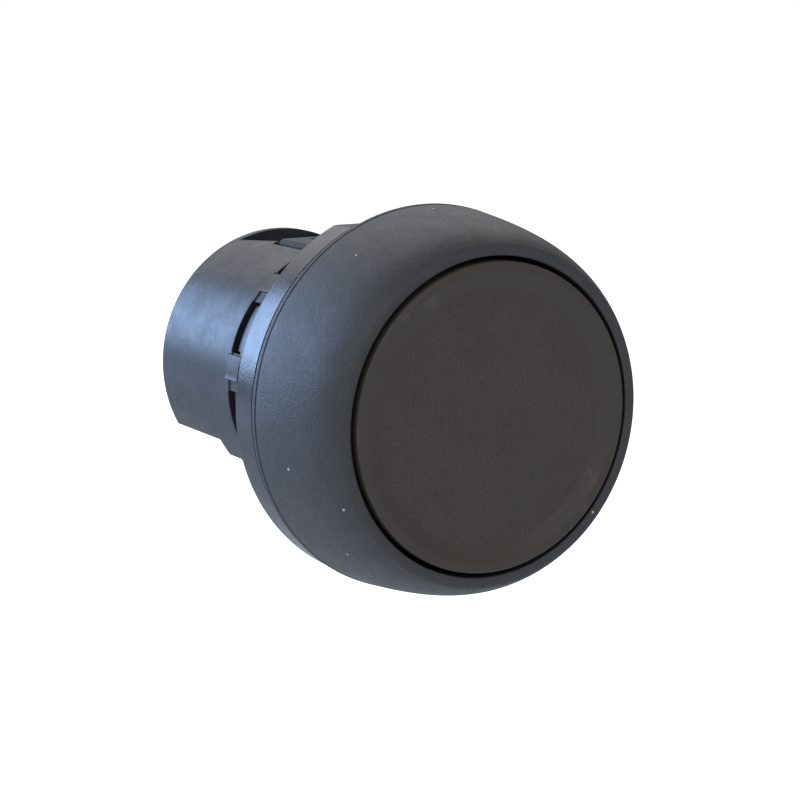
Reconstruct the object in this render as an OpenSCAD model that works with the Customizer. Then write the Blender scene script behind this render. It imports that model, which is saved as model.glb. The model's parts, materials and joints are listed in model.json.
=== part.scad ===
// Panel-mounted momentary push button head, flush type, for a 22 mm class panel hole.
// Frame: Y runs along the button's axis towards the rear, the front face looks towards -Y,
// Z is up, and Y = 0 is the plane where the gasket meets the front of the panel.
// Nearly every piece is turned: its outline is drawn as [radius, y] and spun about the Y axis.

/* [Bezel] */
// Outside radius of the bezel at its rear edge
bezel_r = 15.0; // [14.9:0.1:16]
// Radius of the opening that the button moves in
opening_r = 12.0; // [11.9:0.05:12.1]
// Distance from the bezel's front face back to the panel
front_height = 12.9; // [12.9:0.1:14]
// Length of the bezel along the axis
bezel_length = 9.65; // [9.5:0.05:9.75]
// Radius at the outer edge of the flat front face
bezel_face_r = 12.75; // [12.6:0.05:13]

/* [Button] */
// Gap between the button's side and the opening
cap_gap = 0.35; // [0.3:0.05:0.45]
// How far the button's rim stands in front of the bezel
cap_proud = 0.25; // [0.1:0.05:0.4]
// Depth of the dished centre below the rim
dish_depth = 0.5; // [0.3:0.05:0.7]
// Radius of the flat centre of the dish
dish_r = 9.7; // [9:0.1:10]
// How far the button can be pressed
travel = 5.0; // [3:0.5:5]

/* [Flange] */
// Radius of the flange that seats on the panel
flange_r = 14.85; // [14.7:0.05:14.9]
// Thickness of the flange
flange_t = 2.7; // [2.6:0.05:2.75]
// How far the gasket stands behind the flange
gasket_proud = 0.3; // [0.2:0.05:0.3]
// Height of the flat on top of the flange, above the axis
flange_flat_z = 13.15; // [13:0.05:14]

/* [Barrel] */
// Outside radius of the barrel that goes through the panel
barrel_r = 10.8; // [10.7:0.05:10.8]
// Wall thickness of the barrel
barrel_wall = 1.4; // [1.3:0.05:1.4]
// Length of the barrel behind the panel plane
barrel_length = 21.1; // [21:0.1:24]
// Length of the flat under the barrel's rear end
under_flat_length = 7.9; // [6:0.1:8]
// Angle from straight down to the edge of that flat
under_flat_angle = 61; // [50:1:65]
// Length of the lower step in front of that flat
under_step_length = 2; // [1:0.1:2]
// Angle from straight down to the edge of the step
under_step_angle = 52.5; // [45:0.5:58]
// Number of latch slots around the barrel, each with a barb after it
grips = 9; // [8:1:10]

/* [Plunger] */
// Outside radius of the plunger tube
plunger_r = 6.0; // [5.9:0.05:6]
// Radial clearance of the plunger in its bushes
running_gap = 0.05; // [0.02:0.01:0.08]
// Radius of the return spring's wire
wire_r = 0.38; // [0.3:0.02:0.4]
// Turns of the return spring that carry load
spring_turns = 6; // [5:1:7]

/* [Hidden] */
$fn = 96;

// Small distances used everywhere
slip = 0.05;
cut = 1;

// Colours
black = [0.11, 0.11, 0.13];
graphite = [0.16, 0.16, 0.19];
cap_grey = [0.2, 0.19, 0.18];
rubber = [0.07, 0.07, 0.07];
inner_grey = [0.3, 0.3, 0.31];
white = [0.86, 0.87, 0.88];
steel = [0.72, 0.73, 0.75];

// Places along the axis, front to rear
face_y = -front_height;
bezel_rear_y = face_y + bezel_length;
flange_rear_y = -gasket_proud;
flange_front_y = flange_rear_y - flange_t;
gasket_r = 12.9;
rim_y = face_y - cap_proud;
dish_y = rim_y + dish_depth;

// Front body: a collar that the bezel snaps over, and a ledge inside it
collar_r = bezel_r - 1.7;
collar_front_y = face_y + 2.35;
ledge_y = flange_rear_y - 1.1;
seal_groove_y = collar_front_y + 1.8;
bead_y = collar_front_y + 5.5;

// Barrel: its lip sits on the ledge, and a step in its bore carries the guide sleeve
bore_r = barrel_r - barrel_wall;
root_r = barrel_r + 0.25;
lip_t = 0.8;
lip_y = ledge_y - lip_t;
lip_r = opening_r - slip;
sleeve_seat_y = 10;
sleeve_seat_t = 1;
under_flat_z = -barrel_r * cos(under_flat_angle);
under_step_z = -barrel_r * cos(under_step_angle);
rib_w = 1.6;
rib_h = 1.1;

// Slots and barbs around the barrel in pairs, with a shallow groove between the slots
pitch = 360 / grips;
grip_start = 142;
slot_arc = 23.5;
slot_y = 7.5;
slot_w = 1.45;
groove_y = slot_y + 0.1;
groove_w = slot_w - 0.2;
groove_r = barrel_r - 0.25;
barb_y = 7.25;
barb_w = 2;
barb_arc = 11;
barb_r = barrel_r + 0.22;

// Top of the barrel: a flat-bottomed keyway with the locating key in it, and a window behind that
keyway_z = barrel_r - 0.8;
keyway_front_y = 9.8;
keyway_half = 3.4;
key_half = 2.9;
key_height = 0.6;
window_front_y = 15.2;
window_rear_y = 20.2;
window_front_half = 2.8;
window_rear_half = 3.85;

// Button cap and carrier
cap_r = opening_r - cap_gap;
cap_edge = 0.35;
cap_wall = 1.5;
cap_rear_y = rim_y + 3.4;
plug_r = cap_r - 1.4;
carrier_rear_y = cap_rear_y + slip + 1;
skirt_r = bore_r - 0.3;
skirt_in_r = skirt_r - 0.45;
hub_r = 7.2;
hub_rear_y = carrier_rear_y + 2;
skirt_rear_y = carrier_rear_y + 2.3;

// Guide sleeve and its bushes
sleeve_front_y = hub_rear_y + travel + 0.2;
bush_r = plunger_r + 0.38;
sleeve_in_r = bush_r + 0.02;
sleeve_r = plunger_r + 0.85;
sleeve_flange_t = 1.4;
bush_l = 2;

// Spring and its two seats
spring_r = plunger_r + 1.95;
seat_t = 0.4;
washer_t = 0.5;
spring_front_y = carrier_rear_y + slip + seat_t;
spring_rear_y = sleeve_seat_y - sleeve_flange_t - washer_t;

// Diaphragm
membrane_t = 0.35;
membrane_r = 10.2;
membrane_wave = 0.5;
membrane_waves = 1.5;
clamp_y = lip_y - 0.6;
clamp_t = 0.65;

// Plunger's rear end
clip_y = sleeve_seat_y + 0.7;
clip_t = 0.6;
plunger_wall = 1.3;
plunger_rear_y = 12.6;
foot_rear_y = barrel_length - travel - 0.5;
foot_t = 1.7;
foot_r = 8.2;

// Spins an outline of [radius, y] points about the Y axis
module turned(points) {
    rotate([-90, 0, 0]) rotate_extrude() polygon(points);
}

// A plain ring between two radii and two places along the axis
module ring(r_in, r_out, y0, y1) {
    turned([[r_in, y0], [r_out, y0], [r_out, y1], [r_in, y1]]);
}

// A round-section ring
module o_ring(r, section_r, y) {
    rotate([-90, 0, 0]) rotate_extrude() translate([r, y]) circle(r = section_r, $fn = 32);
}

// Places children at an angle about the axis, from +X towards +Z
module at_angle(a) {
    rotate([0, -a, 0]) children();
}

// A block from r0 outwards, centred on +X, between two places along the axis
module radial_block(r0, r1, y0, y1, w) {
    translate([r0, y0, -w / 2]) cube([r1 - r0, y1 - y0, w]);
}

// A wedge from the axis out to radius r, spanning an arc that starts at +X
module wedge(r, y0, y1, arc) {
    far = r / cos(arc / 2);
    translate([0, y1, 0]) rotate([90, 0, 0]) linear_extrude(y1 - y0)
        polygon([[0, 0], [far, 0], [far * cos(arc / 2), far * sin(arc / 2)], [far * cos(arc), far * sin(arc)]]);
}

// Outline of the bezel's side: it leaves the face at a slope and turns slowly towards the rear
function side_point(t) = let (back = bezel_length * pow(t, 1.7)) [
    bezel_face_r + (bezel_r - bezel_face_r) * ln(1 + back) / ln(1 + bezel_length),
    face_y + back
];
bezel_side = [for (t = [0.16:0.06:1.001]) side_point(t)];
bezel_shoulder = [
    [bezel_face_r - 0.45, face_y],
    [bezel_face_r - 0.17, face_y + 0.04],
    [bezel_face_r + 0.12, face_y + 0.16],
    [bezel_face_r + 0.28, face_y + 0.33]
];

module bezel() {
    inside_r = collar_r + slip;
    edge = 0.25;
    groove_y = bead_y - 0.4;
    groove_w = 1;
    color(black) turned(concat(
        [[opening_r, face_y + edge], [opening_r + edge, face_y]],
        bezel_shoulder,
        bezel_side,
        [
            [inside_r, bezel_rear_y],
            [inside_r, groove_y + groove_w],
            [inside_r + 0.25, groove_y + groove_w],
            [inside_r + 0.25, groove_y],
            [inside_r, groove_y],
            [inside_r, collar_front_y - slip],
            [opening_r, collar_front_y - slip]
        ]
    ));
}

module bezel_seal() {
    color(rubber) o_ring(collar_r - 0.4, 0.4, seal_groove_y);
}

module front_body() {
    groove_half = 0.5;
    groove_r = collar_r - 0.82;
    bead_r = collar_r + 0.15;
    bead_w = 0.6;
    relief_r = root_r + 0.65;
    relief_y = ledge_y + 0.65;
    color(graphite) difference() {
        turned([
            [opening_r, collar_front_y],
            [collar_r, collar_front_y],
            [collar_r, seal_groove_y - groove_half],
            [groove_r, seal_groove_y - groove_half],
            [groove_r, seal_groove_y + groove_half],
            [collar_r, seal_groove_y + groove_half],
            [collar_r, bead_y - 0.2],
            [bead_r, bead_y],
            [bead_r, bead_y + bead_w - 0.2],
            [collar_r, bead_y + bead_w],
            [collar_r, flange_front_y],
            [flange_r, flange_front_y],
            [flange_r, flange_rear_y],
            [root_r + slip, flange_rear_y],
            [root_r + slip, relief_y],
            [relief_r, relief_y],
            [relief_r, ledge_y],
            [opening_r, ledge_y]
        ]);
        translate([-flange_r, flange_front_y - slip, flange_flat_z])
            cube([2 * flange_r, flange_t + cut, flange_r]);
    }
}

module panel_gasket() {
    color(rubber) turned([
        [root_r + slip, flange_rear_y],
        [gasket_r, flange_rear_y],
        [gasket_r, -0.08],
        [gasket_r - 0.15, 0],
        [root_r + 0.2, 0],
        [root_r + slip, -0.08]
    ]);
}

// Ramp that rises over its arc from the barrel's surface and then drops, as on a ratchet
module barb() {
    steps = 6;
    start_r = barrel_r - 0.02;
    root_r = groove_r - 0.3;
    ramp = [for (k = [0:steps]) let (a = barb_arc * k / steps, r = start_r + (barb_r - start_r) * k / steps)
        [r * cos(a), r * sin(a)]];
    root = [for (k = [steps:-1:0]) let (a = barb_arc * k / steps) [root_r * cos(a), root_r * sin(a)]];
    translate([0, barb_y + barb_w, 0]) rotate([90, 0, 0]) linear_extrude(barb_w) polygon(concat(ramp, root));
}

module barrel() {
    color(graphite) {
        difference() {
            turned([
                [bore_r, lip_y],
                [lip_r, lip_y],
                [lip_r, ledge_y],
                [root_r, ledge_y],
                [root_r, 0],
                [barrel_r, 0],
                [barrel_r, groove_y],
                [groove_r, groove_y],
                [groove_r, groove_y + groove_w],
                [barrel_r, groove_y + groove_w],
                [barrel_r, barrel_length - 0.3],
                [barrel_r - 0.3, barrel_length],
                [bore_r, barrel_length],
                [bore_r, sleeve_seat_y + sleeve_seat_t],
                [bore_r - 0.5, sleeve_seat_y + sleeve_seat_t],
                [bore_r - 0.5, sleeve_seat_y],
                [bore_r, sleeve_seat_y]
            ]);
            for (i = [0:grips - 1])
                at_angle(grip_start + i * pitch) wedge(barrel_r + cut, slot_y, slot_y + slot_w, slot_arc);
            translate([-barrel_r, barrel_length - under_flat_length, under_flat_z - barrel_r])
                cube([2 * barrel_r, under_flat_length + cut, barrel_r]);
            translate([-barrel_r, barrel_length - under_flat_length - under_step_length, under_step_z - barrel_r])
                cube([2 * barrel_r, under_step_length + cut, barrel_r]);
            translate([0, 0, bore_r / 2]) linear_extrude(barrel_r) polygon([
                [-window_front_half, window_front_y], [window_front_half, window_front_y],
                [window_rear_half, window_rear_y], [-window_rear_half, window_rear_y]
            ]);
            translate([-keyway_half, keyway_front_y, keyway_z])
                cube([2 * keyway_half, window_front_y + slip - keyway_front_y, barrel_r - keyway_z + cut]);
        }
        for (i = [0:grips - 1]) at_angle(grip_start + slot_arc + 0.5 + i * pitch) barb();
        for (side = [0, 180]) at_angle(side)
            radial_block(bore_r - rib_h, bore_r + 0.2, sleeve_seat_y + sleeve_seat_t, barrel_length - 0.4, rib_w);
    }
}

module barrel_seal() {
    color(rubber) o_ring(root_r + 0.32, 0.3, ledge_y + 0.32);
}

module locating_key() {
    front_y = keyway_front_y + slip;
    rear_y = window_front_y - slip;
    top_half = key_half - 0.4;
    side_z = key_height / 2;
    color(rubber) translate([0, 0, keyway_z]) difference() {
        translate([0, rear_y, 0]) rotate([90, 0, 0]) linear_extrude(rear_y - front_y) polygon([
            [-key_half, 0], [key_half, 0], [key_half, side_z],
            [top_half, key_height], [-top_half, key_height], [-key_half, side_z]
        ]);
        translate([-0.5, front_y + 1, key_height - 0.2]) cube([1, rear_y - front_y - 2, cut]);
    }
}

module latch_ring() {
    lug_y = slot_y + 0.55;
    lug_t = 0.5;
    ring_front_y = spring_rear_y - 0.2;
    color(graphite) {
        ring(bore_r - 0.5, bore_r - slip, ring_front_y, sleeve_seat_y - sleeve_flange_t);
        intersection() {
            ring(bore_r - 0.4, barrel_r - 0.25, lug_y, lug_y + lug_t);
            union() for (i = [0:grips - 1])
                at_angle(grip_start + 1 + i * pitch) wedge(barrel_r, lug_y - cut, lug_y + cut, slot_arc - 2);
        }
    }
}

module guide_sleeve() {
    flange_y = sleeve_seat_y - sleeve_flange_t;
    color(inner_grey) turned([
        [sleeve_in_r, sleeve_front_y],
        [sleeve_r, sleeve_front_y],
        [sleeve_r, flange_y],
        [bore_r - slip, flange_y],
        [bore_r - slip, sleeve_seat_y],
        [sleeve_in_r, sleeve_seat_y]
    ]);
}

module front_bush() {
    color(white) ring(plunger_r + running_gap, bush_r, sleeve_front_y, sleeve_front_y + bush_l);
}

module rear_bush() {
    color(white) ring(plunger_r + running_gap, bush_r, sleeve_seat_y - bush_l, sleeve_seat_y);
}

module spring_washer() {
    color(steel) ring(sleeve_r + 0.1, bore_r - 0.55, spring_rear_y, spring_rear_y + washer_t);
}

// Thin rubber bellows between the carrier's skirt and the barrel's lip
module diaphragm() {
    top_y = carrier_rear_y + 1.1;
    low_y = clamp_y + 0.1;
    steps = 24;
    wave = [for (k = [0:steps]) let (t = k / steps)
        [membrane_r + membrane_wave * sin(360 * membrane_waves * t), top_y + (low_y - top_y) * t]];
    outer = [for (p = wave) [p[0] + membrane_t / 2, p[1]]];
    inner = [for (k = [steps:-1:0]) [wave[k][0] - membrane_t / 2, wave[k][1]]];
    color(rubber) turned(concat(
        [[skirt_r, carrier_rear_y + 0.4], [membrane_r + membrane_t / 2, carrier_rear_y + 0.4]],
        outer,
        [[lip_r, clamp_y], [lip_r, lip_y], [membrane_r - membrane_t / 2, lip_y]],
        inner,
        [[skirt_r, top_y]]
    ));
}

module diaphragm_clamp() {
    color(inner_grey) ring(membrane_r + 1.1, lip_r, clamp_y - clamp_t, clamp_y);
}

module button_cap() {
    color(cap_grey) turned([
        [0, dish_y],
        [dish_r, dish_y],
        [cap_r - 0.65, rim_y],
        [cap_r - cap_edge, rim_y],
        [cap_r - cap_edge * 0.3, rim_y + cap_edge * 0.3],
        [cap_r, rim_y + cap_edge],
        [cap_r, cap_rear_y],
        [plug_r + slip, cap_rear_y],
        [plug_r + slip, dish_y + cap_wall],
        [0, dish_y + cap_wall]
    ]);
}

module cap_carrier() {
    plug_front_y = dish_y + cap_wall + slip;
    groove_y = plug_front_y + 0.35;
    groove_w = 0.6;
    groove_r = plug_r - 0.5;
    socket_y = carrier_rear_y - 1.2;
    color(inner_grey) turned([
        [0, plug_front_y],
        [plug_r, plug_front_y],
        [plug_r, groove_y],
        [groove_r, groove_y],
        [groove_r, groove_y + groove_w],
        [plug_r, groove_y + groove_w],
        [plug_r, cap_rear_y + slip],
        [cap_r - 0.1, cap_rear_y + slip],
        [cap_r - 0.1, carrier_rear_y],
        [skirt_r, carrier_rear_y],
        [skirt_r, skirt_rear_y],
        [skirt_in_r, skirt_rear_y],
        [skirt_in_r, carrier_rear_y],
        [hub_r, carrier_rear_y],
        [hub_r, hub_rear_y],
        [plunger_r + 0.02, hub_rear_y],
        [plunger_r + 0.02, socket_y],
        [0, socket_y]
    ]);
}

module cap_seal() {
    color(rubber) o_ring(plug_r - 0.22, 0.25, dish_y + cap_wall + slip + 0.65);
}

module diaphragm_hub() {
    color(inner_grey)
        ring(membrane_r + membrane_t / 2 + 0.02, membrane_r + 0.8, carrier_rear_y + 0.4, carrier_rear_y + 0.9);
}

module spring_cup() {
    color(steel) ring(hub_r + slip, skirt_in_r - slip, carrier_rear_y, spring_front_y);
}

module plunger() {
    front_y = carrier_rear_y - 1.15;
    groove_r = plunger_r - 0.5;
    color(inner_grey) turned([
        [plunger_r - plunger_wall, front_y],
        [plunger_r, front_y],
        [plunger_r, clip_y - 0.03],
        [groove_r, clip_y - 0.03],
        [groove_r, clip_y + clip_t + 0.03],
        [plunger_r, clip_y + clip_t + 0.03],
        [plunger_r, plunger_rear_y],
        [plunger_r - plunger_wall, plunger_rear_y]
    ]);
}

module plunger_foot() {
    spigot_r = plunger_r - plunger_wall - 0.02;
    color(inner_grey) difference() {
        turned([
            [0, plunger_rear_y - 3],
            [spigot_r, plunger_rear_y - 3],
            [spigot_r, plunger_rear_y],
            [plunger_r, plunger_rear_y],
            [plunger_r, foot_rear_y - foot_t],
            [foot_r, foot_rear_y - foot_t],
            [foot_r, foot_rear_y - 0.2],
            [foot_r - 0.2, foot_rear_y],
            [0, foot_rear_y]
        ]);
        for (side = [0, 180]) at_angle(side)
            radial_block(bore_r - rib_h - 0.5, foot_r + cut, foot_rear_y - foot_t - cut, foot_rear_y + cut, rib_w + 0.8);
    }
}

module buffer_ring() {
    color(rubber) ring(plunger_r + 0.02, plunger_r + 1.4, clip_y - 0.6, clip_y);
}

module retaining_clip() {
    color(steel) difference() {
        ring(plunger_r - 0.45, plunger_r + 1.6, clip_y, clip_y + clip_t);
        at_angle(-90) radial_block(0, plunger_r + 2, clip_y - cut, clip_y + clip_t + cut, 7);
    }
}

// Round-wire coil: a sweep of a ring of points, with closed end turns
module return_spring() {
    sides = 8;
    steps = 20;
    start_y = spring_front_y + wire_r;
    end_y = spring_rear_y - wire_r;
    closed = 2 * wire_r + 0.02;
    turns = spring_turns + 2;
    total = turns * steps;
    pitch_y = (end_y - start_y - 2 * closed) / spring_turns;
    function coil_y(turn) = turn < 1 ? start_y + turn * closed
        : turn > turns - 1 ? end_y - (turns - turn) * closed
        : start_y + closed + (turn - 1) * pitch_y;
    points = [for (k = [0:total], j = [0:sides - 1])
        let (a = 360 * k / steps, b = 360 * j / sides, r = spring_r + wire_r * cos(b))
        [r * cos(a), coil_y(k / steps) + wire_r * sin(b), r * sin(a)]];
    skin = [for (k = [0:total - 1], j = [0:sides - 1])
        [k * sides + j, k * sides + (j + 1) % sides, (k + 1) * sides + (j + 1) % sides, (k + 1) * sides + j]];
    front_end = [[for (j = [sides - 1:-1:0]) j]];
    rear_end = [[for (j = [0:sides - 1]) total * sides + j]];
    color(steel) polyhedron(points, concat(skin, front_end, rear_end));
}

bezel();
bezel_seal();
front_body();
panel_gasket();
barrel();
barrel_seal();
locating_key();
latch_ring();
guide_sleeve();
front_bush();
rear_bush();
spring_washer();
diaphragm();
diaphragm_clamp();
button_cap();
cap_carrier();
cap_seal();
diaphragm_hub();
spring_cup();
plunger();
plunger_foot();
buffer_ring();
retaining_clip();
return_spring();
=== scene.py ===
"""Looks of the panel push button head: moulded shells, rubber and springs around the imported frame.

Lengths in this script are millimetres until a mesh is made; MM turns them into Blender's metres.
The frame's Y axis runs along the button towards the rear, and angles go from +X towards +Z.
"""
import json
import math

import bmesh
import bpy
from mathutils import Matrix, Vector


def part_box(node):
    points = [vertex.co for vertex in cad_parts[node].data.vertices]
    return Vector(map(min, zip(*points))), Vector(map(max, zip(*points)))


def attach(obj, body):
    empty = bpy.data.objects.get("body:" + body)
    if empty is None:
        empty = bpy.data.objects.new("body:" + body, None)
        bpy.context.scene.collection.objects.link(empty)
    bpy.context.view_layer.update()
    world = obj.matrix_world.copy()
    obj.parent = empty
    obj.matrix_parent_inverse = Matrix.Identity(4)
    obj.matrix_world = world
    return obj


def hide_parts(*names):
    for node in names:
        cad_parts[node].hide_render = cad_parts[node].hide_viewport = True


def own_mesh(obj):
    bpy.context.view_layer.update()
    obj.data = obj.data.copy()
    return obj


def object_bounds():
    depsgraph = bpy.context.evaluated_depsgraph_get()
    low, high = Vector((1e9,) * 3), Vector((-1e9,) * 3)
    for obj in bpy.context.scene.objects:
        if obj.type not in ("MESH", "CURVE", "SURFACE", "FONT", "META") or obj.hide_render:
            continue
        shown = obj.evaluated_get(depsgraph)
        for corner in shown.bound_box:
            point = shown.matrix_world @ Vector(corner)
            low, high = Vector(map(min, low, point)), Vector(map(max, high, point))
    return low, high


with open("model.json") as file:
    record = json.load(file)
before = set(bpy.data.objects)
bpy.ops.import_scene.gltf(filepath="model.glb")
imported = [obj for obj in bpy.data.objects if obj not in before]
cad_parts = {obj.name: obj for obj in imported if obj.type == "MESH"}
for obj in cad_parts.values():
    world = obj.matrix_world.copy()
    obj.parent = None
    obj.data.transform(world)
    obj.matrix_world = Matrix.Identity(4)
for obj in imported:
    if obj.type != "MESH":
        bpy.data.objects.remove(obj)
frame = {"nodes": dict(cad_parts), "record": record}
cad_low, cad_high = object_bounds()

MM = 0.001


def span(node):
    """Lowest and highest corner of a CAD node, in millimetres."""
    low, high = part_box(node)
    return low / MM, high / MM


# ---------------------------------------------------------------- sizes, from the frame
BEZEL_LOW, BEZEL_HIGH = span("bezel")
CAP_LOW, CAP_HIGH = span("button_cap")
FLANGE_HIGH = span("front_body")[1]
GASKET_HIGH = span("panel_gasket")[1]
BARREL_LOW, BARREL_HIGH = span("barrel")
KEY_LOW, KEY_HIGH = span("locating_key")
LATCH_LOW, LATCH_HIGH = span("latch_ring")
FOOT_LOW, FOOT_HIGH = span("plunger_foot")
SPRING_LOW, SPRING_HIGH = span("return_spring")
SKIRT_LOW, SKIRT_HIGH = span("diaphragm")

FACE_Y = BEZEL_LOW.y
BEZEL_R = BEZEL_HIGH.x
CAP_R = CAP_HIGH.x
CAP_GAP = 0.35
OPENING_R = CAP_R + CAP_GAP
FLANGE_R = FLANGE_HIGH.x
FLANGE_FRONT_Y = -3.0
FLANGE_REAR_Y = FLANGE_HIGH.y
SEAL_BORE_R = 11.1
LIP_R = BARREL_HIGH.x
LIP_END_Y = -1.4
BARREL_R = 10.8
BARREL_END_Y = BARREL_HIGH.y
BORE_R = BARREL_R - 1.4

# Nine latch slots around the barrel, each with a barb after it
SLOTS = 9
PITCH = 360 / SLOTS
SLOT_START = 142

# Two stations closer than this are the same one
NEAR = 0.01


# ---------------------------------------------------------------- outlines and meshes
def rounded(corners, steps=5):
    """Closed outline from corners (r, y, fillet): a corner with a fillet becomes an arc."""
    points = []
    for i, (r, y, fillet) in enumerate(corners):
        if not fillet:
            points.append((r, y))
            continue
        corner = Vector((r, y))
        before = (Vector(corners[i - 1][:2]) - corner).normalized()
        after = (Vector(corners[(i + 1) % len(corners)][:2]) - corner).normalized()
        half = before.angle(after) / 2
        centre = corner + (before + after).normalized() * (fillet / math.sin(half))
        start = corner + before * (fillet / math.tan(half)) - centre
        turn = start.angle_signed(corner + after * (fillet / math.tan(half)) - centre)
        first = math.atan2(start.y, start.x)
        for k in range(steps + 1):
            a = first - turn * k / steps
            points.append((centre.x + fillet * math.cos(a), centre.y + fillet * math.sin(a)))
    return points


def even_angles(step=1.875):
    """Angles all the way round, one step apart."""
    return [step * k for k in range(round(360 / step))]


def angles_through(marks, step=2.0):
    """Angles round the axis that hold every mark, with even steps between the marks."""
    marks = sorted({round(m % 360, 4) for m in marks})
    angles = []
    for here, there in zip(marks, marks[1:] + [marks[0] + 360]):
        count = max(1, math.ceil((there - here) / step - 1e-6))
        angles += [here + (there - here) * k / count for k in range(count)]
    return angles


def at(angle, y, r):
    """A point at this angle and distance from the axis, in metres."""
    a = math.radians(angle)
    return r * math.cos(a) * MM, y * MM, r * math.sin(a) * MM


def finish_mesh(name, bm, sharp=35):
    """Links a mesh object with outward normals, smooth shading and creases above the sharp angle."""
    bmesh.ops.recalc_face_normals(bm, faces=bm.faces)
    mesh = bpy.data.meshes.new(name)
    bm.to_mesh(mesh)
    bm.free()
    mesh.shade_smooth()
    mesh.set_sharp_from_angle(angle=math.radians(sharp))
    piece = bpy.data.objects.new(name, mesh)
    bpy.context.scene.collection.objects.link(piece)
    return piece


def weigh_normals(piece):
    """Keeps the shading of large faces flat beside small rounded ones."""
    modifier = piece.modifiers.new("flat_faces", "WEIGHTED_NORMAL")
    modifier.keep_sharp = True
    return piece


def bevelled(piece, width, limit="ANGLE"):
    """Rounds a piece's sharp edges, by their weights or by their angle."""
    modifier = piece.modifiers.new("soft_edges", "BEVEL")
    modifier.limit_method = limit
    modifier.angle_limit = math.radians(30)
    modifier.width = width * MM
    modifier.segments = 3
    modifier.use_clamp_overlap = False
    return weigh_normals(piece)


def turned(name, outline, angles=None, reach=None, rim=None):
    """An outline of (r, y) spun about the Y axis. Points close to the rim follow reach(angle) instead."""
    angles = angles or even_angles()
    rim_band = 0.5
    bm = bmesh.new()
    columns = []
    poles = {}
    for angle in angles:
        column = []
        for i, (r, y) in enumerate(outline):
            if r < 1e-6:
                if i not in poles:
                    poles[i] = bm.verts.new(at(0, y, 0))
                column.append(poles[i])
                continue
            if reach and r > rim - rim_band:
                r -= rim - reach(angle)
            column.append(bm.verts.new(at(angle, y, r)))
        columns.append(column)
    for k, column in enumerate(columns):
        beside = columns[(k + 1) % len(columns)]
        for i in range(len(outline)):
            j = (i + 1) % len(outline)
            corners = []
            for v in (column[i], column[j], beside[j], beside[i]):
                if v not in corners:
                    corners.append(v)
            if len(corners) > 2:
                bm.faces.new(corners)
    return weigh_normals(finish_mesh(name, bm))


def blocks(name, angles, places, radii, filled, shape=None, bevel=0.07, weight=None):
    """A solid of cells between stations: round the axis, along it and outwards. filled(angle, y, r)
    says which cells are solid, shape moves a station's corner, and sharp edges are bevelled."""
    count = len(angles)
    mids = [(angles[i] + (angles[(i + 1) % count] + 360 * (i == count - 1))) / 2 for i in range(count)]
    cells = {
        (i, j, k)
        for i in range(count)
        for j in range(len(places) - 1)
        for k in range(len(radii) - 1)
        if filled(mids[i], (places[j] + places[j + 1]) / 2, (radii[k] + radii[k + 1]) / 2)
    }
    bm = bmesh.new()
    made = {}

    def corner(i, j, k):
        key = (i % count, j, k)
        if key not in made:
            spot = (angles[key[0]], places[j], radii[k])
            made[key] = bm.verts.new(at(*(shape(*spot) if shape else spot)))
        return made[key]

    for i, j, k in sorted(cells):
        for beside, quad in (
            (((i - 1) % count, j, k), ((0, 0, 0), (0, 0, 1), (0, 1, 1), (0, 1, 0))),
            (((i + 1) % count, j, k), ((1, 0, 0), (1, 1, 0), (1, 1, 1), (1, 0, 1))),
            ((i, j - 1, k), ((0, 0, 0), (1, 0, 0), (1, 0, 1), (0, 0, 1))),
            ((i, j + 1, k), ((0, 1, 0), (0, 1, 1), (1, 1, 1), (1, 1, 0))),
            ((i, j, k - 1), ((0, 0, 0), (0, 1, 0), (1, 1, 0), (1, 0, 0))),
            ((i, j, k + 1), ((0, 0, 1), (1, 0, 1), (1, 1, 1), (0, 1, 1))),
        ):
            if beside not in cells:
                bm.faces.new([corner(i + a, j + b, k + c) for a, b, c in quad])
    bmesh.ops.recalc_face_normals(bm, faces=bm.faces)
    layer = bm.edges.layers.float.new("bevel_weight_edge")
    for edge in bm.edges:
        if len(edge.link_faces) == 2 and edge.calc_face_angle() > math.radians(35):
            middle = (edge.verts[0].co + edge.verts[1].co) / 2 / MM
            edge[layer] = weight(middle) if weight else 1.0
    return bevelled(finish_mesh(name, bm), bevel, "WEIGHT")


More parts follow.
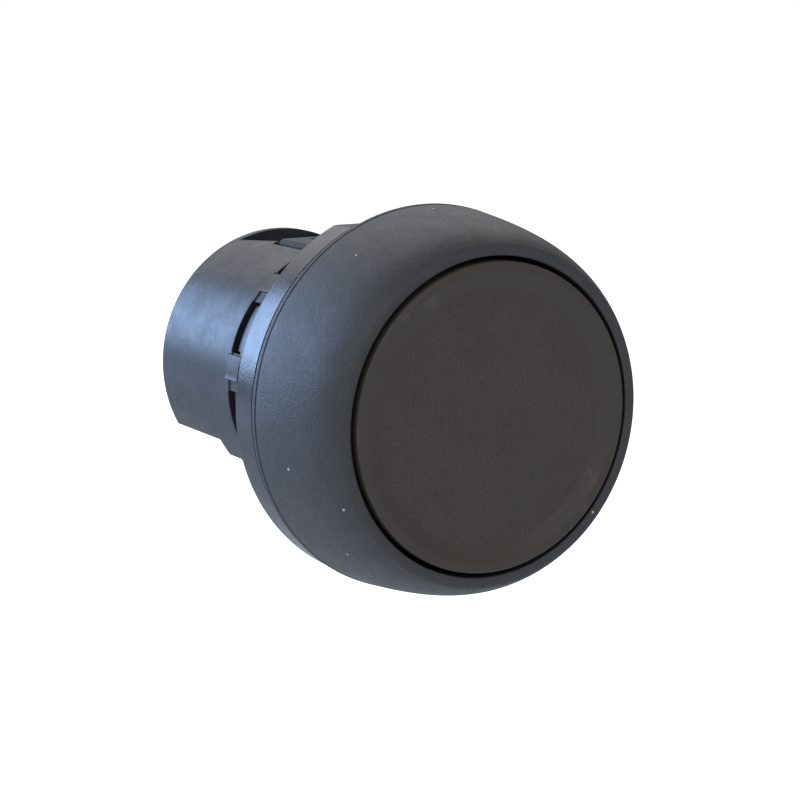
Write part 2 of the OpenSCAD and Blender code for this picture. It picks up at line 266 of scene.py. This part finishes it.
# ---------------------------------------------------------------- materials
class Shader:
    """A node tree on one material, with short calls for the nodes that the recipes share."""

    def __init__(self, name):
        self.material = bpy.data.materials.new(name)
        self.material.use_nodes = True
        self.tree = self.material.node_tree
        self.tree.nodes.clear()
        self.place = self.add("ShaderNodeTexCoord").outputs["Object"]
        self.surface = self.add("ShaderNodeBsdfPrincipled")
        output = self.add("ShaderNodeOutputMaterial")
        self.tree.links.new(self.surface.outputs["BSDF"], output.inputs["Surface"])

    def add(self, kind, inputs=None, **settings):
        """A new node with these settings and inputs, each input a value or another node's output."""
        node = self.tree.nodes.new(kind)
        for key, value in settings.items():
            setattr(node, key, value)
        for key, value in (inputs or {}).items():
            self.put(node.inputs[key], value)
        return node

    def put(self, socket, value):
        """Sets an input to a value, or links it to another node's output."""
        if isinstance(value, bpy.types.NodeSocket):
            self.tree.links.new(value, socket)
        else:
            socket.default_value = value

    def noise(self, size, detail=2.0, roughness=0.55, stretch=None):
        """Noise whose features are about this many millimetres across."""
        place = self.place
        if stretch:
            place = self.add("ShaderNodeMapping", {"Vector": place, "Scale": stretch}).outputs["Vector"]
        inputs = {"Vector": place, "Scale": 1 / (size * MM), "Detail": detail, "Roughness": roughness}
        return self.add("ShaderNodeTexNoise", inputs).outputs["Fac"]

    def spread(self, value, low, high, to_low=0.0, to_high=1.0):
        """Maps a value's range low..high onto another one, clamped."""
        inputs = {"Value": value, "From Min": low, "From Max": high, "To Min": to_low, "To Max": to_high}
        return self.add("ShaderNodeMapRange", inputs).outputs["Result"]

    def math(self, operation, a, b):
        """Sum, product or other operation on two values."""
        return self.add("ShaderNodeMath", {0: a, 1: b}, operation=operation).outputs[0]

    def mix(self, factor, a, b):
        """Colour that goes from a to b as the factor goes from 0 to 1."""
        node = self.add("ShaderNodeMix", {"Factor": factor}, data_type="RGBA")
        colours = [s for s in node.inputs if s.type == "RGBA"]
        self.put(colours[0], a)
        self.put(colours[1], b)
        return next(s for s in node.outputs if s.type == "RGBA")

    def edges(self, low=0.53, high=0.6):
        """How exposed the surface is: 1 on outward edges, 0 on flats and in corners."""
        pointiness = self.add("ShaderNodeNewGeometry").outputs["Pointiness"]
        return self.spread(pointiness, low, high)

    def bump(self, height, depth, normal=None):
        """Relief this many millimetres deep."""
        inputs = {"Height": height, "Distance": depth * MM, "Strength": 1.0}
        if normal:
            inputs["Normal"] = normal
        return self.add("ShaderNodeBump", inputs).outputs["Normal"]


def shade(colour, factor):
    """A colour made lighter or darker by a factor."""
    return tuple(c * factor for c in colour[:3]) + (1.0,)


def moulded(name, colour, roughness, grain, depth, specks=0.0, wear=0.5, mottle=0.15, specular=0.5,
            sparkle=0.02):
    """Moulded plastic: an eroded grain of the given size and depth, patchy gloss, a few pale specks
    and slightly polished edges."""
    s = Shader(name)
    fine = s.noise(grain, 3.0, 0.6)
    coarse = s.noise(grain * 3.1, 2.0)
    patches = s.noise(4.5, 3.0)
    smudges = s.noise(1.7, 4.0, 0.65)
    edge = s.math("MULTIPLY", s.edges(), s.spread(s.noise(0.6, 3.0), 0.35, 0.65, 0.4, 1.0))
    edge = s.math("MULTIPLY", edge, wear)
    tone = s.mix(s.spread(patches, 0.3, 0.7), shade(colour, 1 - mottle), shade(colour, 1 + mottle))
    tone = s.mix(s.math("MULTIPLY", s.spread(fine, 0.5, 0.68), 0.6), tone, shade(colour, 2.0))
    tone = s.mix(edge, tone, shade(colour, 2.3))
    gloss = s.spread(smudges, 0.3, 0.7, roughness - 0.05, roughness + 0.06)
    gloss = s.math("SUBTRACT", gloss, s.math("MULTIPLY", edge, 0.12))
    gloss = s.math("SUBTRACT", gloss, s.spread(fine, 0.52, 0.68, 0.0, sparkle))
    if specks:
        cells = s.add("ShaderNodeTexVoronoi", {"Vector": s.place, "Scale": 1 / (1.9 * MM)})
        dot = s.spread(cells.outputs["Distance"], 0.04, 0.07, 1.0, 0.0)
        chosen = s.add("ShaderNodeSeparateColor", {"Color": cells.outputs["Color"]}).outputs["Red"]
        dot = s.math("MULTIPLY", dot, s.spread(chosen, 1 - specks, 1 - specks + 0.02))
        tone = s.mix(dot, tone, (0.75, 0.8, 0.88, 1.0))
    height = s.math("ADD", s.math("MULTIPLY", fine, 0.65), s.math("MULTIPLY", coarse, 0.35))
    s.put(s.surface.inputs["Base Color"], tone)
    s.put(s.surface.inputs["Roughness"], gloss)
    s.put(s.surface.inputs["Specular IOR Level"], specular)
    s.put(s.surface.inputs["Normal"], s.bump(height, depth))
    return s.material


def rubber(name, colour):
    """Matt moulded rubber with bloom in patches and a soft sheen."""
    s = Shader(name)
    bloom = s.spread(s.noise(1.2, 4.0, 0.7), 0.4, 0.75)
    grit = s.noise(0.12, 2.0)
    tone = s.mix(s.math("MULTIPLY", bloom, 0.4), shade(colour, 1.0), shade(colour, 2.2))
    s.put(s.surface.inputs["Base Color"], tone)
    s.put(s.surface.inputs["Roughness"], s.spread(bloom, 0.0, 1.0, 0.62, 0.78))
    s.put(s.surface.inputs["Sheen Weight"], 0.15)
    s.put(s.surface.inputs["Normal"], s.bump(grit, 0.012))
    return s.material


def drawn_steel(name, colour):
    """Plated spring steel with fine drawing lines, darker stains and bright worn edges."""
    s = Shader(name)
    lines = s.noise(0.05, 2.0, 0.5, stretch=(1.0, 6.0, 1.0))
    stains = s.spread(s.noise(0.9, 4.0, 0.7), 0.45, 0.75)
    tone = s.mix(s.math("MULTIPLY", stains, 0.5), shade(colour, 1.0), shade(colour, 0.55))
    tone = s.mix(s.math("MULTIPLY", s.edges(), 0.6), tone, shade(colour, 1.25))
    s.put(s.surface.inputs["Base Color"], tone)
    s.put(s.surface.inputs["Metallic"], 1.0)
    s.put(s.surface.inputs["Roughness"], s.spread(stains, 0.0, 1.0, 0.24, 0.42))
    s.put(s.surface.inputs["Normal"], s.bump(lines, 0.004))
    return s.material


BEZEL_BLACK = moulded("bezel_grain", (0.033, 0.032, 0.036), 0.50, 0.13, 0.075, specks=0.5, wear=0.4,
                      specular=0.9, sparkle=0.16)
FLANGE_BLACK = moulded("flange_grain", (0.018, 0.019, 0.026), 0.20, 0.17, 0.030, wear=0.5,
                       sparkle=0.06)
BARREL_BLACK = moulded("barrel_satin", (0.030, 0.031, 0.038), 0.39, 0.35, 0.006, wear=0.6)
CAP_GREY = moulded("cap_matt", (0.066, 0.055, 0.045), 0.50, 0.09, 0.006, wear=0.35, mottle=0.06)
INNER_GREY = moulded("inner_acetal", (0.060, 0.060, 0.064), 0.42, 0.30, 0.006, wear=0.5)
BUSH_WHITE = moulded("bush_liner", (0.66, 0.67, 0.68), 0.38, 0.40, 0.005, wear=0.2, mottle=0.05)
RUBBER = rubber("seal_rubber", (0.018, 0.018, 0.019))
STEEL = drawn_steel("spring_steel", (0.62, 0.63, 0.65))


def place(piece, node, body, slot, material):
    """The piece stands for a CAD node, rides on its body and takes one material."""
    piece.data.materials.clear()
    piece.data.materials.append(material)
    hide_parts(node)
    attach(piece, body)
    return piece


# ---------------------------------------------------------------- bezel
def bezel_side(count=26):
    """The domed side from the front face to the rear edge: it turns quickly at first and slowly
    later, so its points are closer together at the front."""
    face_r, length = 12.75, BEZEL_HIGH.y - FACE_Y
    first, crowding = 0.16, 1.7
    for k in range(count + 1):
        back = length * (first + (1 - first) * k / count) ** crowding
        yield face_r + (BEZEL_R - face_r) * math.log(1 + back) / math.log(1 + length), FACE_Y + back


def bezel():
    """Domed shell: flat front ring, rounded shoulder, slowly turning side and a fine lip at the rear."""
    rear_y = BEZEL_HIGH.y
    inner_r, ledge_y = 13.35, -10.6
    lip, step = 0.5, 0.12
    side = [(r, y) for r, y in bezel_side() if y < rear_y - lip - 0.05]
    slope = (side[1][0] - side[0][0]) / (side[1][1] - side[0][1])
    shoulder_r = side[0][0] - slope * (side[0][1] - FACE_Y)
    groove_r = side[-1][0] + 0.02
    corners = [(OPENING_R, FACE_Y, 0.14), (shoulder_r, FACE_Y, 0.4)]
    corners += [(r, y, 0) for r, y in side]
    corners += [
        (groove_r, rear_y - lip - 0.03, 0),
        (groove_r - step, rear_y - lip + 0.02, 0),
        (BEZEL_R - 0.03, rear_y - lip + 0.07, 0.04),
        (BEZEL_R, rear_y, 0.12),
        (inner_r, rear_y, 0.1),
        (inner_r, ledge_y, 0),
        (OPENING_R, ledge_y, 0.1),
    ]
    return turned("bezel_shell", rounded(corners))


place(bezel(), "bezel", "housing", "bezel_plastic", BEZEL_BLACK)


# ---------------------------------------------------------------- button cap
def cap():
    """Shallow dish with a raised rim, hollow behind."""
    rim_y, rim_width = CAP_LOW.y, 0.75
    dish_y, flat_r, dish_r = rim_y + 0.5, 5.0, 9.7
    inner_r, roof_y = CAP_R - 1.35, rim_y + 2.0
    corners = [
        (0, dish_y, 0),
        (flat_r, dish_y, 0),
        (dish_r, dish_y, 1.1),
        (CAP_R - rim_width, rim_y, 0.5),
        (CAP_R, rim_y, 0.2),
        (CAP_R, CAP_HIGH.y, 0.1),
        (inner_r, CAP_HIGH.y, 0.1),
        (inner_r, roof_y, 0.2),
        (0, roof_y, 0),
    ]
    return turned("cap_shell", rounded(corners))


place(cap(), "button_cap", "button", "cap_plastic", CAP_GREY)


# ---------------------------------------------------------------- front body with its flange
def flange_reach(angle):
    """Radius of the flange, cut by the flat on its top."""
    return min(FLANGE_R, FLANGE_HIGH.z / max(0.2, math.sin(math.radians(angle))))


def front_body():
    """Collar with a snap bead that the bezel covers, and the flange behind it."""
    half = math.degrees(math.acos(FLANGE_HIGH.z / FLANGE_R))
    marks = [90 + side * (half + nudge) for side in (-1, 1) for nudge in (-0.35, 0.35)]
    collar_r, collar_front_y = 13.3, -10.55
    bead_r, bead_front_y, bead_rear_y = 13.45, -5.05, -4.45
    corners = [
        (OPENING_R, collar_front_y, 0.1),
        (collar_r, collar_front_y, 0.15),
        (collar_r, bead_front_y, 0),
        (bead_r, bead_front_y + 0.25, 0),
        (bead_r, bead_rear_y - 0.15, 0),
        (collar_r, bead_rear_y, 0),
        (collar_r, FLANGE_FRONT_Y, 0),
        (FLANGE_R, FLANGE_FRONT_Y, 0.12),
        (FLANGE_R, FLANGE_REAR_Y, 0.16),
        (SEAL_BORE_R, FLANGE_REAR_Y, 0.05),
        (SEAL_BORE_R, LIP_END_Y, 0),
        (OPENING_R, LIP_END_Y, 0.1),
    ]
    return turned("flange_shell", rounded(corners), angles_through(marks), flange_reach, FLANGE_R)


place(front_body(), "front_body", "housing", "flange_plastic", FLANGE_BLACK)


# ---------------------------------------------------------------- panel gasket
def gasket():
    """Flat ring behind the flange. The frame's Y starts at its rear face."""
    corners = [
        (SEAL_BORE_R, FLANGE_REAR_Y, 0),
        (GASKET_HIGH.x, FLANGE_REAR_Y, 0),
        (GASKET_HIGH.x, 0, 0.13),
        (SEAL_BORE_R, 0, 0.1),
    ]
    return turned("gasket_ring", rounded(corners))


place(gasket(), "panel_gasket", "housing", "seal_rubber", RUBBER)


# ---------------------------------------------------------------- barrel
# A pair is where something starts and ends along Y, and WINDOW_HALVES are the half widths there.
# Arcs and BARB_FIRST are in degrees. BARB_CREST is the share of a barb where its ramp turns steep.
SLOT_ARC = 23.5
SLOT = (7.5, 8.95)
GROOVE = (7.6, 8.85)
GROOVE_R = BARREL_R - 0.12
ROOT_R = BARREL_R + 0.25
BARB = (7.25, 9.25)
BARB_FIRST = SLOT_ARC + 0.8
BARB_ARC = 10.7
BARB_CREST = 0.84
BARB_RISE = 0.15
KEYWAY = (9.8, 15.2)
KEYWAY_HALF = 3.4
KEYWAY_Z = BARREL_R - 0.8
WINDOW = (15.2, 20.2)
WINDOW_HALVES = (2.8, 3.85)
TOP_ARC = 44
FLAT_Y = 13.2
FLAT_ARC_HALF = 61
FLAT_Z = -BARREL_R * math.cos(math.radians(FLAT_ARC_HALF))
STEP_Y = 11.2
STEP_ARC_HALF = 52.5
STEP_Z = -BARREL_R * math.cos(math.radians(STEP_ARC_HALF))
RIB_HALF_ARC = 5.2
RIB_R = BORE_R - 1.1
RIB_END_Y = 20.7
SEAT = (10.0, 11.0)
SEAT_R = BORE_R - 0.5
LEAN_FADE_ARC = 24


def slot_angle(angle):
    """Angle past the start of the last slot before this angle, going round the axis."""
    return (angle - SLOT_START) % PITCH


def off_axis(angle, centre):
    """Smallest angle between two directions."""
    return abs((angle - centre + 180) % 360 - 180)


def half_angle(half_width, r=BARREL_R):
    """Angle from a centre line out to this half width on a circle."""
    return math.degrees(math.asin(min(1.0, half_width / r)))


WINDOW_MARK = half_angle(WINDOW_HALVES[0])
KEYWAY_MARK = half_angle(KEYWAY_HALF)


def in_barb(angle, margin=0.0):
    """Whether an angle is on a barb, which comes after each slot."""
    return BARB_FIRST - margin < slot_angle(angle) < BARB_FIRST + BARB_ARC + margin


def barrel_filled(angle, y, r):
    """Whether a cell of the barrel is solid: the openings first, then the wall between two radii."""
    half = STEP_ARC_HALF if y < FLAT_Y else FLAT_ARC_HALF
    under = off_axis(angle, 270) < half and y > STEP_Y
    window = off_axis(angle, 90) < WINDOW_MARK and WINDOW[0] < y < WINDOW[1]
    keyway = off_axis(angle, 90) < KEYWAY_MARK and KEYWAY[0] < y < KEYWAY[1] and r > KEYWAY_Z
    slot = slot_angle(angle) < SLOT_ARC and SLOT[0] < y < SLOT[1]
    if under or window or keyway or slot:
        return False
    if y < LIP_END_Y:
        return BORE_R < r < LIP_R
    if y < 0:
        return BORE_R < r < ROOT_R
    outer = BARREL_R
    if in_barb(angle) and BARB[0] < y < BARB[1]:
        outer = ROOT_R
    elif GROOVE[0] < y < GROOVE[1]:
        outer = GROOVE_R
    inner = BORE_R
    if SEAT[0] < y < SEAT[1]:
        inner = SEAT_R
    elif min(off_axis(angle, 0), off_axis(angle, 180)) < RIB_HALF_ARC and SEAT[1] < y < RIB_END_Y:
        inner = RIB_R
    return inner < r < outer


def barb_rise(angle):
    """Height of a barb's ramp, as a share of its crest: a slow rise and then a short steep one."""
    share = (slot_angle(angle) - BARB_FIRST) / BARB_ARC
    slow = min(1.0, share / BARB_CREST)
    steep = max(0.0, (share - BARB_CREST) / (1 - BARB_CREST))
    return max(0.03, 0.5 * slow + 0.5 * steep)


def top_shape(angle, y, r):
    """Keeps the walls of the window and the keyway upright, and the keyway's floor flat."""
    share = min(1.0, max(0.0, (y - WINDOW[0]) / (WINDOW[1] - WINDOW[0])))
    window = half_angle(WINDOW_HALVES[0] + share * (WINDOW_HALVES[1] - WINDOW_HALVES[0]))
    keyway = max(KEYWAY_MARK, window + 2.5 * share)
    off = angle - 90
    marks = [(0, 0), (WINDOW_MARK, window), (KEYWAY_MARK, keyway), (TOP_ARC, TOP_ARC)]
    for (a0, b0), (a1, b1) in zip(marks, marks[1:]):
        if a0 <= abs(off) <= a1 + 1e-6:
            turned_off = b0 + (b1 - b0) * (abs(off) - a0) / (a1 - a0)
            break
    across = BARREL_R * math.sin(math.radians(turned_off))
    if abs(r - KEYWAY_Z) < NEAR and abs(off) < KEYWAY_MARK + NEAR and y < KEYWAY[1] + NEAR:
        upright, r = math.degrees(math.atan2(across, KEYWAY_Z)), math.hypot(across, KEYWAY_Z)
    else:
        upright = half_angle(across, r)
    fade = min(1.0, max(0.0, (turned_off - keyway) / (TOP_ARC - keyway)))
    return 90 + math.copysign(upright + (turned_off - upright) * fade, off), y, r


def turned_edge(z, r, half_arc):
    """Angle that an edge at this height moves by at another radius, to keep a flat level."""
    return half_arc - math.degrees(math.acos(min(1.0, -z / r)))


def barrel_shape(angle, y, r):
    """Ramps the barbs, and keeps the walls of the openings at the top and under the rear straight."""
    if abs(r - ROOT_R) < NEAR and BARB[0] - NEAR < y < BARB[1] + NEAR:
        return angle, y, BARREL_R + barb_rise(angle) * BARB_RISE
    if off_axis(angle, 90) < TOP_ARC - NEAR and y > KEYWAY[0] - NEAR:
        return top_shape(angle, y, r)
    side = off_axis(angle, 270)
    lean = turned_edge(FLAT_Z, r, FLAT_ARC_HALF)
    step_lean = turned_edge(STEP_Z, r, STEP_ARC_HALF)
    if side <= STEP_ARC_HALF:
        lean = step_lean * max(0.0, 1 - (STEP_ARC_HALF - side) / LEAN_FADE_ARC)
    elif side < FLAT_ARC_HALF:
        share = (side - STEP_ARC_HALF) / (FLAT_ARC_HALF - STEP_ARC_HALF)
        lean = step_lean + (lean - step_lean) * share
    else:
        lean *= max(0.0, 1 - (side - FLAT_ARC_HALF) / LEAN_FADE_ARC)
    sign = 1 if (angle - 270 + 180) % 360 > 180 else -1
    return angle - sign * lean, y, r


def barrel_weight(middle):
    """Bevels fade towards the foot of each ramp."""
    angle = math.degrees(math.atan2(middle.z, middle.x)) % 360
    if BARB[0] - 2 * NEAR < middle.y < BARB[1] + 2 * NEAR and in_barb(angle, -0.2):
        return barb_rise(angle)
    return 1.0


def barrel():
    """Tube behind the flange with slots, barbs, keyway, window, the flats underneath and two ribs."""
    marks = []
    for k in range(SLOTS):
        start = SLOT_START + k * PITCH
        barb = start + BARB_FIRST
        marks += [start, start + SLOT_ARC, barb, barb + BARB_ARC * BARB_CREST, barb + BARB_ARC]
    marks += [90 + sign * a for sign in (-1, 1) for a in (WINDOW_MARK, KEYWAY_MARK, TOP_ARC)]
    marks += [270 + side * half for side in (-1, 1) for half in (FLAT_ARC_HALF, STEP_ARC_HALF)]
    marks += [side + sign * RIB_HALF_ARC for side in (0, 180) for sign in (-1, 1)]
    places = {BARREL_LOW.y, LIP_END_Y, 0, BARREL_END_Y}
    places.update(GROOVE, BARB, SLOT, KEYWAY, WINDOW, SEAT)
    places.update((STEP_Y, FLAT_Y, RIB_END_Y))
    radii = [RIB_R, SEAT_R, BORE_R, KEYWAY_Z, GROOVE_R, BARREL_R, ROOT_R, LIP_R]
    return blocks("barrel_shell", angles_through(marks), sorted(places), radii, barrel_filled,
                  barrel_shape, bevel=0.06, weight=barrel_weight)


place(barrel(), "barrel", "housing", "barrel_plastic", BARREL_BLACK)


# ---------------------------------------------------------------- key and latch ring
def locating_key():
    """Low block in the keyway, with sloping shoulders and a shallow recess."""
    half, shoulder, recess = KEY_HIGH.x, 0.4, 0.5
    floor_z, top_z = KEY_LOW.z, KEY_HIGH.z
    front, rear = KEY_LOW.y, KEY_HIGH.y
    xs = [-half, -half + shoulder, -recess, recess, half - shoulder, half]
    ys = [front, front + 1, rear - 1, rear]
    bm = bmesh.new()
    made = {}

    def corner(i, j, k):
        if (i, j, k) not in made:
            shoulder_z = (floor_z + top_z) / 2
            heights = (floor_z, top_z - 0.2, top_z)
            z = heights[k] if 0 < i < len(xs) - 1 or k == 0 else min(heights[k], shoulder_z)
            made[i, j, k] = bm.verts.new((xs[i] * MM, ys[j] * MM, z * MM))
        return made[i, j, k]

    def level_face(i, j, k):
        bm.faces.new([corner(i, j, k), corner(i + 1, j, k), corner(i + 1, j + 1, k), corner(i, j + 1, k)])

    last = len(xs) - 1
    for j in range(3):
        for i in range(last):
            level_face(i, j, 0)
            level_face(i, j, 1 if (i, j) == (2, 1) else 2)
        for i in (0, last):
            bm.faces.new([corner(i, j, 0), corner(i, j + 1, 0), corner(i, j + 1, 2), corner(i, j, 2)])
    for i in range(last):
        for j in (0, 3):
            bm.faces.new([corner(i, j, 0), corner(i + 1, j, 0), corner(i + 1, j, 2), corner(i, j, 2)])
    for (i0, j0), (i1, j1) in (((2, 1), (3, 1)), ((3, 1), (3, 2)), ((3, 2), (2, 2)), ((2, 2), (2, 1))):
        bm.faces.new([corner(i0, j0, 1), corner(i1, j1, 1), corner(i1, j1, 2), corner(i0, j0, 2)])
    return bevelled(finish_mesh("key_block", bm), 0.06)


place(locating_key(), "locating_key", "housing", "seal_rubber", RUBBER)


def latch_ring():
    """Ring inside the barrel, with a lug in each slot."""
    front, rear = LATCH_LOW.y, LATCH_HIGH.y
    lug = (8.05, 8.55)
    lug_start, lug_end = 1, SLOT_ARC - 1
    inner_r, ring_r, lug_r = 8.9, 9.35, 10.45
    marks = [SLOT_START + k * PITCH + a for k in range(SLOTS) for a in (lug_start, lug_end)]

    def filled(angle, y, r):
        on_lug = lug[0] < y < lug[1] and lug_start < slot_angle(angle) < lug_end
        return on_lug or r < ring_r

    return blocks("latch_spring", angles_through(marks), [front, *lug, rear], [inner_r, ring_r, lug_r],
                  filled, bevel=0.03)


place(latch_ring(), "latch_ring", "housing", "barrel_plastic", BARREL_BLACK)


# ---------------------------------------------------------------- rear foot of the plunger
NOTCH_HALF = 1.2
NOTCH_R = 7.8


def foot_reach(angle):
    """Radius of the disc, which has a notch for a rib of the barrel on each side."""
    across = abs(FOOT_HIGH.x * math.sin(math.radians(angle)))
    return NOTCH_R if across < NOTCH_HALF else FOOT_HIGH.z


def foot():
    """Stem that plugs into the plunger, a collar and the notched disc at the rear."""
    rim, rear = FOOT_HIGH.z, FOOT_HIGH.y
    stem_r, stem_end_y = 4.68, 12.6
    collar_r, disc_front_y = 6.0, rear - 1.7
    # Two rings within the flat rear face: they leave its shape alone, but its shading depends on them
    outer_ring_r, inner_ring_r = 3.4, 3.1
    corner = math.degrees(math.asin(NOTCH_HALF / rim))
    nudges = [sign * (corner + nudge) for sign in (-1, 1) for nudge in (-0.4, 0.4)]
    marks = [side + nudge for side in (0, 180) for nudge in nudges]
    corners = [
        (0, FOOT_LOW.y, 0),
        (stem_r, FOOT_LOW.y, 0.2),
        (stem_r, stem_end_y, 0),
        (collar_r, stem_end_y, 0.1),
        (collar_r, disc_front_y, 0.3),
        (rim, disc_front_y, 0.15),
        (rim, rear, 0.2),
        (outer_ring_r, rear, 0.12),
        (inner_ring_r, rear, 0),
        (0, rear, 0),
    ]
    return turned("foot_disc", rounded(corners), angles_through(marks), foot_reach, rim)


place(foot(), "plunger_foot", "button", "inner_plastic", INNER_GREY)


# ---------------------------------------------------------------- return spring
def coil():
    """Round wire wound about the axis, with closed turns at both ends."""
    wire, mean = 0.38, 7.95
    loaded, sides, steps = 6, 12, 40
    front, rear = SPRING_LOW.y + wire, SPRING_HIGH.y - wire
    closed = 2 * wire + 0.02
    turns = loaded + 2
    pitch = (rear - front - 2 * closed) / loaded

    def along(turn):
        if turn < 1:
            return front + turn * closed
        if turn > turns - 1:
            return rear - (turns - turn) * closed
        return front + closed + (turn - 1) * pitch

    bm = bmesh.new()
    rings = []
    for k in range(turns * steps + 1):
        angle = 360 * k / steps
        end = min(k, turns * steps - k)
        thick = wire * min(1.0, 0.8 + 0.1 * end)
        rings.append([
            bm.verts.new(at(angle, along(k / steps) + thick * math.sin(b), mean + thick * math.cos(b)))
            for b in (2 * math.pi * j / sides for j in range(sides))
        ])
    for near, far in zip(rings, rings[1:]):
        for j in range(sides):
            bm.faces.new((near[j], near[(j + 1) % sides], far[(j + 1) % sides], far[j]))
    bm.faces.new(rings[0])
    bm.faces.new(rings[-1])
    return finish_mesh("coil_spring", bm)


spring = place(coil(), "return_spring", "housing", "spring_steel", STEEL)
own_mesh(spring)


# ---------------------------------------------------------------- diaphragm
def diaphragm():
    """Thin rubber bellows between the moving carrier and the barrel's lip."""
    half, mean, wave, waves, steps = 0.175, 10.2, 0.5, 1.5, 40
    bead_r = 9.1
    front, rear = SKIRT_LOW.y, SKIRT_HIGH.y
    bead_y, top, low = front + 0.7, front + 1.5, rear - 0.5
    line = [(mean - wave * math.sin(2 * math.pi * waves * k / steps), top + (low - top) * k / steps)
            for k in range(steps + 1)]
    corners = [(bead_r, front, 0.1), (mean + half, front, 0.1)]
    corners += [(r + half, y, 0) for r, y in line]
    corners += [(SKIRT_HIGH.x, rear - 0.6, 0.1), (SKIRT_HIGH.x, rear, 0.1), (mean - half, rear, 0.1)]
    corners += [(r - half, y, 0) for r, y in reversed(line)]
    corners += [(mean - half, bead_y, 0.1), (bead_r, bead_y, 0.1)]
    return turned("bellows", rounded(corners, 3))


skirt = place(diaphragm(), "diaphragm", "housing", "seal_rubber", RUBBER)
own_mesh(skirt)


# ---------------------------------------------------------------- CAD nodes that keep their shape
FINISHES = {
    "seal_rubber": RUBBER,
    "inner_plastic": INNER_GREY,
    "bush_plastic": BUSH_WHITE,
    "spring_steel": STEEL,
    "barrel_plastic": BARREL_BLACK,
}
for part in frame["record"]["subparts"]:
    node = frame["nodes"][part["node"]]
    if not node.hide_render:
        node.data.materials.clear()
        node.data.materials.append(FINISHES[part["material_slot"]])


# ---------------------------------------------------------------- floor, light and camera
def softbox(name, direction, distance, size, power, colour, target):
    """Area lamp at this distance from the target, facing it."""
    data = bpy.data.lights.new(name, "AREA")
    data.shape = "RECTANGLE"
    data.size, data.size_y = size
    data.energy = power
    data.color = colour
    lamp = bpy.data.objects.new(name, data)
    bpy.context.scene.collection.objects.link(lamp)
    lamp.location = target + Vector(direction).normalized() * distance
    lamp.rotation_euler = (target - lamp.location).to_track_quat("-Z", "Y").to_euler()
    return lamp


centre = (cad_low + cad_high) / 2

FLOOR_DROP = 0.06
FLOOR_SIZE = 8.0
floor_mesh = bpy.data.meshes.new("floor")
half = FLOOR_SIZE / 2
level = cad_low.z - FLOOR_DROP
floor_corners = [(-half, -half, level), (half, -half, level), (half, half, level), (-half, half, level)]
floor_mesh.from_pydata(floor_corners, [], [(0, 1, 2, 3)])
floor = bpy.data.objects.new("floor", floor_mesh)
bpy.context.scene.collection.objects.link(floor)
paper = Shader("floor_paper")
paper.put(paper.surface.inputs["Base Color"], (0.9, 0.9, 0.9, 1.0))
paper.put(paper.surface.inputs["Roughness"], 0.9)
# The paper glows for camera rays only, so it is seen as white but its glow lights nothing
paper.put(paper.surface.inputs["Emission Color"], (1.0, 1.0, 1.0, 1.0))
seen = paper.add("ShaderNodeLightPath").outputs["Is Camera Ray"]
paper.put(paper.surface.inputs["Emission Strength"], paper.math("MULTIPLY", seen, 0.85))
floor.data.materials.append(paper.material)

# The camera sees a white backdrop, and everything else is lit by the dimmer room
ROOM_LIGHT = 0.32
world = bpy.data.worlds.new("studio")
world.use_nodes = True
sky = world.node_tree
room = sky.nodes["Background"]
room.inputs["Color"].default_value = (0.95, 0.97, 1.0, 1.0)
room.inputs["Strength"].default_value = ROOM_LIGHT
backdrop = sky.nodes.new("ShaderNodeBackground")
backdrop.inputs["Color"].default_value = (1.0, 1.0, 1.0, 1.0)
choose = sky.nodes.new("ShaderNodeMixShader")
sky.links.new(sky.nodes.new("ShaderNodeLightPath").outputs["Is Camera Ray"], choose.inputs["Fac"])
sky.links.new(room.outputs["Background"], choose.inputs[1])
sky.links.new(backdrop.outputs["Background"], choose.inputs[2])
sky.links.new(choose.outputs["Shader"], sky.nodes["World Output"].inputs["Surface"])
bpy.context.scene.world = world

softbox("cool_softbox", (-0.47, 0.84, 0.24), 0.6, (0.28, 0.26), 2.1, (0.40, 0.61, 1.0), centre)
softbox("fill_softbox", (-0.70, -0.25, 0.65), 0.7, (0.5, 0.4), 0.9, (0.68, 0.82, 1.0), centre)
softbox("front_softbox", (0.0, -0.93, 0.36), 0.7, (0.25, 0.20), 0.45, (1.0, 0.97, 0.94), centre)
softbox("top_softbox", (0.27, 0.74, 0.60), 0.7, (0.75, 0.40), 1.05, (0.98, 0.98, 1.0), centre)

AIM = Vector((-0.00799, FACE_Y * MM, 0.00215))
AZIMUTH, ELEVATION, DISTANCE = math.radians(-30.88), math.radians(10.70), 0.16468
away = Vector((
    math.sin(AZIMUTH) * math.cos(ELEVATION),
    -math.cos(AZIMUTH) * math.cos(ELEVATION),
    math.sin(ELEVATION),
))
lens = bpy.data.cameras.new("camera")
lens.lens = 103.5
lens.sensor_width = 36.0
lens.clip_start = 0.01
camera = bpy.data.objects.new("camera", lens)
bpy.context.scene.collection.objects.link(camera)
camera.location = AIM + away * DISTANCE
camera.rotation_euler = (-away).to_track_quat("-Z", "Y").to_euler()
bpy.context.scene.camera = camera
bpy.context.scene.view_settings.view_transform = "Standard"
